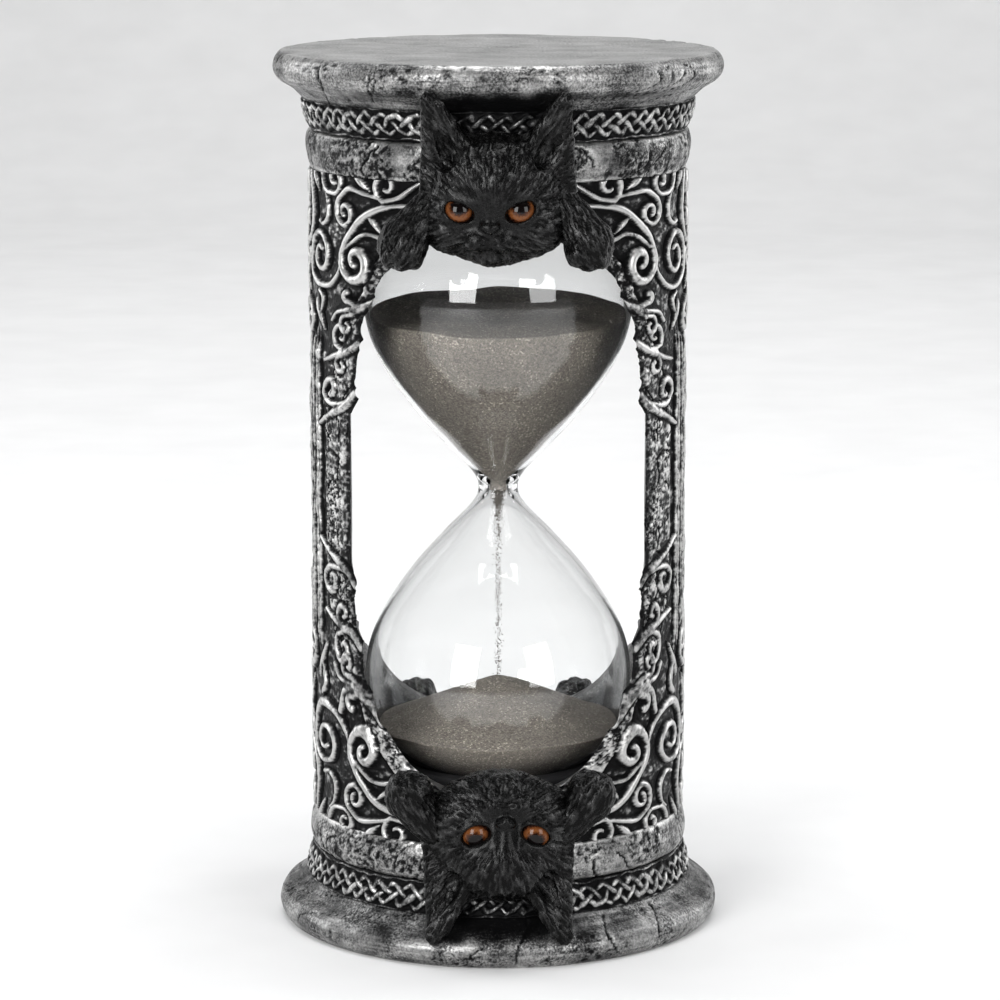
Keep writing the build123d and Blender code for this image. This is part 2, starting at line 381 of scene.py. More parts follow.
class Relief:
    """Raised lines and blobs over points (u along the surface, z), kept as a height per point."""

    def __init__(self, u, z):
        self.u, self.z = u, z
        self.height = np.zeros_like(u)
        self.crest = np.zeros_like(u)
        self.moat = np.zeros_like(u)

    def stroke(self, points, widths, rise=1.0, flat=0.62):
        """A rounded ridge along points with a half-width at each, and a shallow moat beside it."""
        points, widths = np.asarray(points), np.broadcast_to(widths, len(points))
        reach = widths.max() + 0.9
        low, high = points.min(0) - reach, points.max(0) + reach
        near = (self.u > low[0]) & (self.u < high[0]) & (self.z > low[1]) & (self.z < high[1])
        near = np.nonzero(near)
        if not len(near[0]):
            return
        u, z = self.u[near], self.z[near]
        best, crest, gap = np.zeros_like(u), np.zeros_like(u), np.full_like(u, 9.0)
        for (pu, pz), w in zip(points, widths):
            d = np.hypot(u - pu, z - pz)
            inside = unit(1 - (d / w) ** 2)
            best = np.maximum(best, w**0.5 * inside**flat)
            crest = np.maximum(crest, inside)
            gap = np.minimum(gap, d - w)
        self.height[near] = np.maximum(self.height[near], rise * best)
        self.crest[near] = np.maximum(self.crest[near], crest)
        self.moat[near] = np.maximum(self.moat[near], fade(0.0, 0.9, gap))


def scroll(stem, eye=None, turns=1.1, hand=1, width=0.62, head=None, end=0.25):
    """Points and half-widths of a tapering stem that ends in a spiral round eye, with a thicker head."""
    points = curve_through(stem)
    grow = np.linspace(0, 1, len(points))
    widths = width * (0.55 + 0.45 * smoothstep(0, 0.6, grow))
    if eye is not None:
        start = np.array(stem[-1], float) - eye
        radius, angle = np.hypot(*start), math.atan2(start[1], start[0])
        t = np.linspace(0, 1, int(turns * 6 * radius / 0.3) + 8)
        r = radius * (1 - (1 - end) * t**0.9)
        a = angle + hand * math.tau * turns * t
        spiral = np.stack([eye[0] + r * np.cos(a), eye[1] + r * np.sin(a)], 1)
        swell = width + ((head or width * 1.25) - width) * np.sin(np.pi * unit(t * 1.1)) ** 2
        points = np.vstack([points, spiral])
        widths = np.concatenate([widths, swell * (1 - 0.25 * t)])
    return points, widths


def leaf(a, b, width):
    """A teardrop from a to b."""
    t = np.linspace(0, 1, 14)[:, None]
    points = np.array(a) * (1 - t) + np.array(b) * t
    return points, width * (0.35 + 0.65 * np.sin(np.pi * (1 - t[:, 0]) ** 1.4))


# One quarter of the sleeve's ornament: u is millimetres round from the front's middle, z is the height
SCROLLS = (
    scroll([(45.6, 162.5), (44.8, 159.4), (42.8, 157.5), (40.4, 157.2)], (39.3, 160.0), 1.15, -1),
    scroll([(23.5, 156.6), (29.3, 157.9), (34.0, 158.5), (37.6, 156.4)], (35.5, 153.8), 1.3, -1, 0.66),
    scroll([(13.0, 162.2), (17.0, 160.0), (21.0, 157.6), (24.9, 156.7)], (23.9, 159.9), 1.05, 1, 0.66),
    scroll(
        [
            (17.5, 156.0), (22.0, 155.9), (26.0, 155.0), (30.5, 152.7), (34.4, 149.0), (36.6, 145.4),
            (36.9, 143.0),
        ],
        (32.4, 143.6), 1.15, -1, 1.0, 1.5, 0.2,
    ),
    scroll(
        [(36.9, 145.0), (38.2, 141.0), (42.0, 138.2), (47.2, 137.6), (51.0, 139.8), (51.8, 143.6)],
        (46.3, 144.0), 1.35, 1, 0.8, 0.85,
    ),
    scroll(
        [(44.9, 158.0), (42.9, 156.1), (42.2, 153.2), (43.2, 151.3), (44.8, 150.6), (46.4, 151.0)], width=0.6
    ),
    scroll([(41.0, 131.0), (38.8, 132.9), (34.5, 133.6), (30.5, 134.4), (26.5, 136.0)], width=0.8),
    scroll([(29.8, 134.2), (33.6, 132.8), (36.4, 132.3)], (35.8, 130.3), 0.95, -1, 0.6),
    scroll([(28.5, 135.6), (31.6, 134.6), (34.4, 135.2)], (34.9, 136.6), 0.6, 1, 0.75, 1.0),
    scroll([(44.6, 122.3), (39.5, 123.8), (34.8, 125.2), (31.2, 127.2)], width=0.85),
    scroll([(34.0, 124.9), (37.5, 124.2)], (37.4, 122.0), 0.95, -1, 0.62),
    scroll([(33.2, 126.4), (36.5, 125.2), (39.4, 126.0)], (37.4, 128.2), 0.95, 1, 0.55),
    scroll([(47.4, 108.6), (43.8, 110.2), (39.7, 111.9), (35.6, 113.9), (32.6, 116.4)], width=0.95),
    scroll([(35.2, 114.6), (39.0, 113.6), (42.6, 113.8), (44.6, 115.4)], (41.6, 116.2), 0.85, 1, 0.72, 0.95),
    scroll(
        [(53.8, 162.3), (51.4, 157.6), (50.0, 152.6), (52.0, 148.2), (55.4, 146.2)],
        (55.0, 143.6), 1.0, -1, 0.85,
    ),
    scroll([(61.9, 162.5), (60.6, 158.0), (57.6, 156.0)], (56.6, 158.6), 1.0, -1, 0.7),
    scroll([(61.9, 134.0), (61.0, 140.0), (59.4, 146.0), (58.4, 150.4)], (56.2, 150.6), 1.1, 1, 0.8),
    scroll([(61.9, 125.0), (60.6, 130.0), (57.4, 133.4), (54.0, 132.6)], (54.2, 129.6), 1.1, 1, 0.8),
    scroll([(61.9, 162.5), (61.4, 155.0), (61.9, 146.0), (61.4, 137.0), (61.9, 124.0)], width=0.95),
    scroll([(47.0, 131.5), (45.2, 134.6), (47.0, 136.2)], width=0.6),
    leaf((32.3, 161.6), (28.2, 158.7), 0.95),
    leaf((29.0, 153.4), (24.6, 149.6), 0.6),
    leaf((50.2, 162.0), (47.4, 157.2), 0.7),
    leaf((49.0, 134.4), (45.0, 128.6), 0.8),
    leaf((58.6, 141.6), (57.2, 135.4), 0.8),
    (curve_through([(35.2, 146.6), (31.0, 149.2), (27.5, 149.6), (24.5, 148.6)]), 0.55),
)
# Thicker curls that only the lower corners have, where the tendrils clasp the rim
LOWER_SCROLLS = (
    scroll([(39.6, 137.8), (36.8, 135.0), (33.4, 134.0), (30.2, 135.0), (26.8, 137.6)], width=1.2),
)
CRACK_WIDTH = 0.26
# The middle (as u) and the thickness of each upright ridge on the sides
RIDGES = ((48.3, 0.4), (50.0, 0.35), (52.6, 0.65), (55.6, 0.5), (58.2, 0.6), (61.4, 0.75))


def jagged(rng, start, heading, length, step=0.7):
    """A crack: a seeded random walk that keeps near its heading."""
    points, angle = [start], heading
    for _ in range(int(length / step)):
        angle += rng.uniform(-0.75, 0.75)
        angle += (heading - angle) * 0.35
        u, z = points[-1]
        points.append((u + step * math.cos(angle), z + step * math.sin(angle)))
    return curve_through(points, 0.2)


def upright(lean):
    """Headings within lean radians of straight up."""
    return lambda rng: math.pi / 2 + rng.uniform(-lean, lean)


def cracks(u, z, seed, count, across, up, heading, lengths, widths=None, foot=0.0):
    """0 to 1: seeded cracks that start in the ranges across and up, the second counted from foot."""
    relief, rng = Relief(u, z), random.Random(seed)
    for _ in range(count):
        start = (rng.uniform(*across), foot + rng.uniform(*up))
        line = jagged(rng, start, heading(rng), rng.uniform(*lengths))
        relief.stroke(line, rng.uniform(*widths) if widths else CRACK_WIDTH)
    return unit(relief.height * 2)


# ---- the pierced sleeve

SLEEVE_GROUND = 38.9
BORE = 35.0
SLEEVE_COLUMNS, BORE_COLUMNS = 284, 14
STRAIGHT_ROWS, ARCH_ROWS, CAP_ROWS = 112, 150, 38
WINDOW_HALF_WIDTH = 31.0
ARCH_SPRING = 122.0
ARCH_RISE = 29.5
# Heights in the upper half, each with how far the front window's edge stands outside the plain arch; the
# tendrils swell it inwards, in other places in the lower half than in the upper
EDGE_SWAY = {
    "upper": (
        (90.0, -0.8), (110.0, -0.8), (112.6, -1.2), (115.9, -2.6), (118.6, -1.8), (120.3, -2.1),
        (124.6, -2.4), (127.7, -3.0), (129.8, -2.1), (132.3, -1.8), (134.3, -2.0), (136.6, -2.0),
        (138.6, -0.9), (140.7, -0.3), (142.5, 0.0), (151.5, 0.0), (165.0, 0.0),
    ),
    "lower": (
        (90.0, -0.8), (103.5, -0.8), (105.8, -1.2), (108.1, -2.4), (110.5, -1.5), (114.0, -1.7),
        (118.0, -2.0), (120.8, -3.5), (123.5, -3.2), (128.0, -3.0), (130.5, -3.9), (133.0, -4.0),
        (136.2, -3.2), (138.9, -3.2), (141.5, -2.8), (143.7, -2.3), (146.9, -1.6), (149.0, -0.4),
        (151.5, 0.0), (165.0, 0.0),
    ),
}
# The same for the rear window, and for both windows' edges on the bore
REAR_SWAY = ((90.0, 1.8), (110.0, 1.8), (118.0, 1.0), (127.6, 0.1), (136.4, 0.0), (165.0, 0.0))
REAR_BORE_SWAY = ((90.0, 1.7), (110.0, 1.7), (120.0, 0.9), (130.0, -0.2), (140.0, 0.0), (165.0, 0.0))
BORE_SWAY = ((90.0, -0.6), (120.0, -0.4), (130.0, -0.3), (140.0, 0.0), (165.0, 0.0))
# How far each lower tendril sits nearer the middle of the sleeve than the upper one like it
LOWER_DRIFT = (
    (92.5, 8.0), (107.8, 7.9), (119.8, 6.1), (131.5, 3.3), (140.0, 0.3), (142.0, 0.0), (165.0, 0.0)
)
RIM_RISE = 0.5
VINE_WIDTH = 1.08


def sway(table, z):
    """A smooth reading of a table of (height, offset)."""
    line = curve_through(table)
    return np.interp(z, line[:, 0], line[:, 1])


def window_half_width(z, table):
    """Half the window's width at a height in the upper half."""
    above = unit((z - ARCH_SPRING) / ARCH_RISE)
    plain = WINDOW_HALF_WIDTH * np.sqrt(1 - above**2)
    return np.where(above < 1, np.clip(plain + sway(table, z), 0, None), 0.0)


def quarter_heights():
    """Row heights of the upper half, close together where the arches turn level."""
    phi = np.linspace(0, math.pi / 2, ARCH_ROWS + 1)[1:]
    arch = ARCH_SPRING + ARCH_RISE * np.sin(phi)
    straight = np.linspace(MID, ARCH_SPRING, STRAIGHT_ROWS)
    cap = np.linspace(ARCH_SPRING + ARCH_RISE, heights("pierced_sleeve")[1], CAP_ROWS + 1)[1:]
    return np.concatenate([straight, arch, cap])


def window_angle(z, table, radius):
    """The angle from the window's middle to its edge on a cylinder."""
    return np.arcsin(window_half_width(z, table) / radius)


def distance_to_window(u, z, table):
    """Distance from the window's edge to each point outside it."""
    edge_z = quarter_heights()[::2]
    edge_z = np.concatenate([2 * MID - edge_z[30:0:-1], edge_z[edge_z <= ARCH_SPRING + ARCH_RISE]])
    folded = np.where(edge_z < MID, HEIGHT - edge_z, edge_z)
    edge_u = SLEEVE_GROUND * window_angle(folded, table, SLEEVE_GROUND)
    nearest = np.full(u.shape, 99.0)
    for pu, pz in zip(edge_u, edge_z):
        nearest = np.minimum(nearest, np.hypot(u - pu, z - pz))
    return nearest


def blurred(field, cells):
    """A field averaged over a few neighbouring cells each way."""
    for axis in (0, 1):
        total = field * 0
        for shift in range(-cells, cells + 1):
            index = np.clip(np.arange(field.shape[axis]) + shift, 0, field.shape[axis] - 1)
            total = total + np.take(field, index, axis)
        field = total / (2 * cells + 1)
    return field


def tone_from(height, level, cells=4, contrast=1.3):
    """How worn a point's silver is: high against what is round it, and high overall."""
    return unit(level + contrast * (height - blurred(height, cells)))


def eroded(x, y, z, size, seed):
    """0 to 1: meandering channels like a worn, worm-eaten surface."""
    channel = np.abs(rough(x, y, z, size, seed, 2))
    return fade(0.03, 0.3, channel)


def side_ridges(u, x, z, folded_z):
    """Slightly wandering upright ridges round the middle of each side, from 0 to 1."""
    ridges, level = np.zeros_like(u), x * 0
    for number, (place, thick) in enumerate(RIDGES):
        drift = 0.5 * noise(folded_z / 9 + number * 7, level, z / 31, 33)
        drift = drift + 0.2 * noise(folded_z / 2.2 + number * 5, level, z / 17, 34)
        swell = thick * (1 + 0.3 * noise(folded_z / 4, level + number, level, 35))
        ridges = np.maximum(ridges, np.exp(-(((u - place - drift) / swell) ** 2)))
    return ridges


def tendrils(u, folded_z, is_lower):
    """The scrolls' relief; the lower ones are drawn towards the middle of the sleeve and the window."""
    strokes = SCROLLS
    if is_lower:
        drawn_in = fade(38, 50, u) * smoothstep(130, 140, folded_z)
        drift = np.array(LOWER_DRIFT)
        u, folded_z = u + 1.8 * drawn_in, folded_z + np.interp(folded_z, drift[:, 0], drift[:, 1])
        strokes = SCROLLS + LOWER_SCROLLS
    relief = Relief(u, folded_z)
    for points, widths in strokes:
        relief.stroke(points, np.asarray(widths) * VINE_WIDTH, rise=1.15)
    return relief


def pillar_cracks(u, folded_z):
    """Cracks in the rims beside the straight part of the windows."""
    return cracks(u, folded_z, 4, 16, (37, 46), (94, 122), lambda rng: rng.choice((1.2, 2.0, 0.2)), (3, 7))


def sleeve_relief(x, y, z, place):
    """Height over the ground and rubbed tone for points on the sleeve's outer face."""
    warp = 0.35
    folded_z = np.where(z < MID, HEIGHT - z, z) + warp * noise(x / 5, y / 5, z / 5, 21)
    u = SLEEVE_GROUND * np.arctan2(np.abs(x), np.abs(y)) + warp * noise(x / 5, y / 5, z / 5, 22)
    front, rear = (distance_to_window(u, folded_z, table) for table in (EDGE_SWAY[place], REAR_SWAY))
    edge = np.where(y < 0, front, rear)

    is_lower = place == "lower"
    pillar = fade(110, 136, folded_z)
    rim_width = 3.6 + 6.6 * pillar + 1.2 * is_lower * (1 - pillar)
    rim = fade(rim_width - 0.5, rim_width, edge)
    groove = np.exp(-(((edge - rim_width - 0.4) / 0.5) ** 2))
    worn = eroded(x, y, 1.5 * z, 0.95, 5) * smoothstep(-0.5, 0.3, rough(x, y, z, 6.0, 7, 2))
    lumps = rough(x, y, z, 3.0, 9, 3)
    stipple = rough(x, y, 1.4 * z, 0.8, 13, 2)

    ground = 0.1 * lumps + 0.08 * stipple
    rim_height = RIM_RISE + 0.1 * lumps - 0.26 * worn + 0.05 * stipple
    rim_height = rim_height - 0.35 * fade(0.2, 1.5, edge) * (0.6 + 0.4 * lumps)
    height = ground * (1 - rim) + rim_height * rim - 0.35 * groove
    side = smoothstep(0.8, 1.7, edge - rim_width)
    stretch = fade(118 if is_lower else 123, 130, folded_z)
    ridges = side_ridges(u, x, z, folded_z)
    height = height + side * stretch * (0.95 * ridges - 0.15 + 0.12 * lumps)

    relief = tendrils(u, folded_z, is_lower)
    bare = relief.height <= 0
    height = height - 0.15 * relief.moat * bare
    base = np.where(rim > 0.5, RIM_RISE * 0.7, 0.0)
    raised = base + relief.height * (1 - 0.4 * rim) + 0.05 * lumps + 0.04 * stipple
    height = np.where(bare, height, np.maximum(height, raised))
    split = pillar_cracks(u, folded_z) * rim * bare
    height = height - 0.35 * split

    arch = smoothstep(124, 138, folded_z)
    level = 0.25 + 0.28 * stipple + 0.3 * np.clip(lumps, -0.5, 1)
    bright = 0.29 - 0.1 * arch + (0.22 * arch if is_lower else 0)
    level = level + rim * (bright - 0.3 * worn + 0.14 * stipple)
    level = level - 0.3 * rim * fade(0.3, 1.6, edge) * (1 - arch)
    level = level + side * stretch * (0.3 * ridges - 0.05)
    brightness = 0.24 + 0.36 * smoothstep(0.3, 0.9, relief.crest) + 0.16 * lumps + 0.2 * stipple
    level = np.where(bare, level - 0.3 * relief.moat, np.maximum(level, brightness))
    return height, level - 0.3 * groove * bare - 0.4 * split


def sleeve_quarter(side, place, material):
    """A quarter of the sleeve's wall: one side, left -1 or right 1, and the upper or the lower half."""
    folded = quarter_heights()
    z = folded if place == "upper" else HEIGHT - folded

    def around(angle, radius):
        """Points at each height, at angles from the front's middle round this side."""
        z_grid = np.broadcast_to(z[:, None], angle.shape)
        return np.stack([side * radius * np.sin(angle), -radius * np.cos(angle), z_grid], -1)

    def cut_face(a, b):
        """Columns of points across the window's cut face, between two edges, slightly worn."""
        steps = np.array([0.12, 0.4, 0.75])[None, :, None]
        face = a[:, None] * (1 - steps) + b[:, None] * steps
        face[..., 0] += side * 0.1 * rough(face[..., 0], face[..., 1], face[..., 2], 2.5, 41, 2)
        return face

    start = window_angle(folded, EDGE_SWAY[place], SLEEVE_GROUND)
    rear = math.pi - window_angle(folded, REAR_SWAY, SLEEVE_GROUND)
    t = np.linspace(0, 1, SLEEVE_COLUMNS)[None]
    crowded = 0.4 * (1 - start / start[0])[:, None]
    t = t + crowded * np.sin(math.tau * t) / math.tau
    angle = start[:, None] * (1 - t) + rear[:, None] * t
    height, level = sleeve_relief(*np.moveaxis(around(angle, SLEEVE_GROUND), -1, 0), place)
    outer = around(angle, SLEEVE_GROUND + height)

    start = window_angle(folded, BORE_SWAY, BORE)
    rear = math.pi - window_angle(folded, REAR_BORE_SWAY, BORE)
    t = np.linspace(0, 1, BORE_COLUMNS)[None]
    inner = around(rear[:, None] * (1 - t) + start[:, None] * t, BORE)

    far, near = cut_face(outer[:, -1], inner[:, 0]), cut_face(inner[:, -1], outer[:, 0])
    ring = np.concatenate([outer, far, inner, near], 1)
    rows, columns = ring.shape[:2]
    tones = np.full((rows, columns), 0.5)
    tones[:, :SLEEVE_COLUMNS] = tone_from(height, level)
    faces = ringed_faces(rows, columns)
    if (side < 0) != (place == "lower"):
        faces = [face[::-1] for face in faces]
    name = f"sleeve_{place}_{'left' if side < 0 else 'right'}"
    new_piece(name, ring.reshape(-1, 3), faces, material, "pierced_sleeve", tones.ravel())


# ---- revolved castings


def arc(centre, radius, start, end, count):
    """Points on an arc in the radius-height plane, angles in degrees."""
    a = np.radians(np.linspace(start, end, count))
    return np.stack([centre[0] + radius * np.cos(a), centre[1] + radius * np.sin(a)], 1)


def run(*points, step=0.5):
    """Points along straight runs in the radius-height plane."""
    found = [np.array(points[0], float)[None]]
    for a, b in zip(points, points[1:]):
        count = max(1, int(math.dist(a, b) / step))
        t = np.linspace(0, 1, count + 1)[1:, None]
        found.append(np.array(a) * (1 - t) + np.array(b) * t)
    return np.vstack(found)


def revolve(profile, columns, relief=None, loop=False):
    """Points, faces and tone of a profile turned about Z; relief(u, x, y, z) gives height and level."""
    profile = np.asarray(profile, float)
    along = np.gradient(profile, axis=0)
    along /= np.linalg.norm(along, axis=1, keepdims=True) + 1e-9
    normal = np.stack([along[:, 1], -along[:, 0]], 1)
    angle = full_turn(columns)
    rows = len(profile)
    sin, cos = np.sin(angle)[None], -np.cos(angle)[None]
    radius, z = profile[:, :1] + 0 * sin, profile[:, 1:] + 0 * sin
    tone = np.full((rows, columns), 0.6)
    if relief:
        height, level = relief(radius * angle[None], radius * sin, radius * cos, z)
        tone = tone_from(height, level)
        radius = radius + height * normal[:, :1]
        z = z + height * normal[:, 1:]
    points = np.stack([radius * sin, radius * cos, z], -1).reshape(-1, 3)
    return points, ringed_faces(rows, columns, loop), tone.ravel()


PLATE_COLUMNS = 620
PLATE_FLAT, PLATE_NECK, PLATE_THICK = 45.0, 41.0, 9.4
BOSS_RADIUS, BOSS_TOP = 34.9, 28.0
POCKET_RADIUS, POCKET_FLOOR = 24.1, 22.0


def plate_relief(crack_seed):
    def relief(u, x, y, z):
        lumps = rough(x, y, z, 6.0, 51, 3)
        pits = unit(rough(x, y, z * 1.6, 1.3, 55, 2) - 0.25)
        patch = smoothstep(-0.1, 0.5, rough(x, y, z, 9.0, 57, 2))
        side = smoothstep(43.0, 45.6, np.hypot(x, y)) + (z > 1.0)
        strength = unit(side)
        height = 0.1 * lumps * strength - 0.3 * pits * patch * strength
        split = cracks(u, z, crack_seed, 14, (0, 290), (1.0, 3.0), upright(0.3), (4, 9))
        height = height - 0.35 * split * (z > 0.8)
        # The flat outer face is painted lighter: a painted reflection of the lamps.
        level = 0.62 + 0.12 * lumps * strength + 0.14 * fade(0.0, 0.4, z)
        level = level - 0.25 * pits * patch * strength - 0.12 * smoothstep(4.5, 6.5, z)
        return height, level

    return relief


def painted_shade_behind_heads(points, tone):
    """Painted shade: darkens the casting between and behind the cats' ears, where their heads shade it."""
    x, y, z = points.T
    from_mid = np.abs(z - MID)
    behind = fade(9.5, 14.5, np.abs(x) + 1.5 * rough(x, y, z, 2.5, 61, 2)) * (np.abs(y) > 20)
    reach = smoothstep(60, 64, from_mid) * fade(84.0, 88.0, from_mid + 0.8 * rough(x, y, z, 3.0, 62, 2))
    return unit(tone - 0.6 * behind * reach)


def end_plate(place, material, crack_seed):
    """A plate with a rounded lip and a sloping shoulder, and the boss with the pocket for the foam."""
    lip = arc((43.39, 3.0), 3.61, -56.2, 56.2, 18)
    shoulder = curve_through([(45.4, 6.0), (43.05, 7.45), (PLATE_NECK, PLATE_THICK)], 0.45)[1:]
    boss = run(
        (PLATE_NECK, PLATE_THICK), (BOSS_RADIUS, PLATE_THICK), (BOSS_RADIUS, BOSS_TOP),
        (POCKET_RADIUS, BOSS_TOP), (POCKET_RADIUS, POCKET_FLOOR), (0.6, POCKET_FLOOR), step=2.5,
    )
    profile = np.vstack([run((0.6, 0.0), (PLATE_FLAT, 0.0), step=1.4), lip, shoulder, boss[1:]])
    points, faces, tone = revolve(profile, PLATE_COLUMNS, plate_relief(crack_seed))
    tone = painted_shade_behind_heads(points, tone)
    end_piece(place, "plate_cast", points, faces, material, "plate", tone)


STRAND_PERIOD = 11.6
STRANDS = 3


def knot_relief(x, y, z):
    """Strands that cross over and under each other, between raised border lines."""
    low, high = heights("lower_knotwork_band")
    middle, amplitude = low + 3.05, 2.25
    repeats = round(math.tau * 40.2 / STRAND_PERIOD)
    around = np.arctan2(x, -y) % (math.tau) / (math.tau)
    z_warp = z + 0.35 * noise(x / 2.2, y / 2.2, z / 2.2, 71)
    height = np.zeros_like(x)
    crest = np.zeros_like(x)
    for strand in range(STRANDS):
        wander = 0.05 * noise(x / 3.1, y / 3.1, z / 3.1, 72 + strand)
        phase = (around * repeats + strand / STRANDS + wander) % 1
        line = np.arcsin(np.clip(np.cos(math.tau * phase) * 0.98, -1, 1)) / (math.pi / 2)
        slope = amplitude * 4 / STRAND_PERIOD
        lean = 1 + slope**2 * smoothstep(0.0, 0.25, 0.95 - np.abs(line))
        distance = np.abs(z_warp - middle - amplitude * line) / np.sqrt(lean)
        weave = np.where(phase < 0.5, -1, 1) * np.cos(math.tau * STRANDS * phase)
        weave = weave * np.abs(np.sin(math.tau * phase)) ** 0.5
        half_width = 0.74 + 0.2 * noise(x / 1.7, y / 1.7, z / 1.7, 78 + strand)
        ridge = unit(1 - (distance / half_width) ** 2)
        standing = ridge**0.5 * (0.66 + 0.3 * weave)
        crest = np.where(standing > height, ridge * (0.84 + 0.2 * weave), crest)
        height = np.maximum(height, standing)
    for place in (low + 0.1, high - 0.45):
        line = unit(1 - (np.abs(z_warp - place) / 0.3) ** 2)
        crest = np.where(line**0.6 * 0.4 > height, 0.6 * line, crest)
        height = np.maximum(height, 0.4 * line**0.6)
    level = 0.08 + 0.56 * smoothstep(0.2, 0.9, crest) + 0.26 * rough(x, y, z, 1.4, 75, 2)
    return height + 0.05 * rough(x, y, z, 1.0, 74, 2), level


def knotwork_band(place, material):
    low, high = heights("lower_knotwork_band")
    foot, head, columns = (40.75, low), (39.15, high), 1200
    face = run(foot, head, step=0.2)
    back = run(head, (BORE, high), (BORE, low), foot, step=2.0)[1:-1]
    points, faces, tone = revolve(np.vstack([face, back]), columns, loop=True)
    front = len(face) * columns
    x, y, z = points[:front].reshape(-1, columns, 3).transpose(2, 0, 1)
    height, level = knot_relief(x, y, z)
    radius = np.hypot(x, y)
    points[:front] = np.stack([x + x / radius * height, y + y / radius * height, z], -1).reshape(-1, 3)
    tone[:front] = tone_from(height, level, 3, 0.6).ravel()
    tone[front:] = 0.1
    x, y, z = points.T
    # Painted shade: the knotwork is darkened behind the cats' heads, between their ears.
    behind = fade(10.5, 12.5, np.abs(x)) * (np.abs(y) > 20)
    tone = unit(tone - 0.25 * behind)
    end_piece(place, "knotwork", points, faces, material, "knotwork_band", tone)


def collar_relief(seed, brightness):
    def relief(u, x, y, z):
        lumps = rough(x, y, z, 5.0, seed, 3)
        pits = unit(rough(x, y, z, 0.9, seed + 4, 2) - 0.1)
        patch = smoothstep(-0.25, 0.35, rough(x, y, z, 8.0, seed + 8, 2))
        worn = eroded(x, y, z, 1.0, seed + 2) * smoothstep(-0.2, 0.6, rough(x, y, z, 7.0, seed + 6, 2))
        height = 0.12 * lumps - 0.3 * pits * patch - 0.09 * worn
        low, high = heights("lower_collar")
        split = cracks(u, z, seed, 20, (0, 250), (0, 3), upright(0.9), (3, 8), (0.22, 0.34), low)
        height = height - 0.4 * split
        ends = smoothstep(0.38, 0.46, np.abs((z - low) / (high - low) - 0.5))
        pepper = smoothstep(0.05, 0.45, rough(x, y, z, 0.7, seed + 9, 2))
        pepper = pepper * smoothstep(-0.1, 0.3, patch - 0.3)
        level = brightness + 0.14 * lumps - 0.16 * worn - 0.2 * pits * patch - 0.3 * pepper + 0.26 * ends
        return height - 0.05 * pepper, level

    return relief


def collar(place, material, seed):
    low, high = heights("lower_collar")
    tall, columns = high - low, 700
    foot, head = (39.1, low), (39.3, high)
    bulge = [foot, (39.85, low + 0.6), (40.3, low + tall * 0.35), (40.0, low + tall * 0.7), head]
    back = run(head, (BORE, high), (BORE, low), foot, step=2.0)[1:-1]
    profile = np.vstack([curve_through(bulge, 0.32), back])
    # The collars share a worn level of silver; the lower collar's is set higher as painted light, where it
    # catches the lamps from below and the side.
    brightness = 0.57 if place == "upper" else 0.68
    points, faces, tone = revolve(profile, columns, collar_relief(seed, brightness), loop=True)
    tone = painted_shade_behind_heads(points, tone)
    end_piece(place, "cracked_collar", points, faces, material, "collar", tone)


# ---- the cats

FACE_X = -1.6
EYE_APART = 6.1
EYE_HEIGHT = 156.4
VOXEL = 0.205


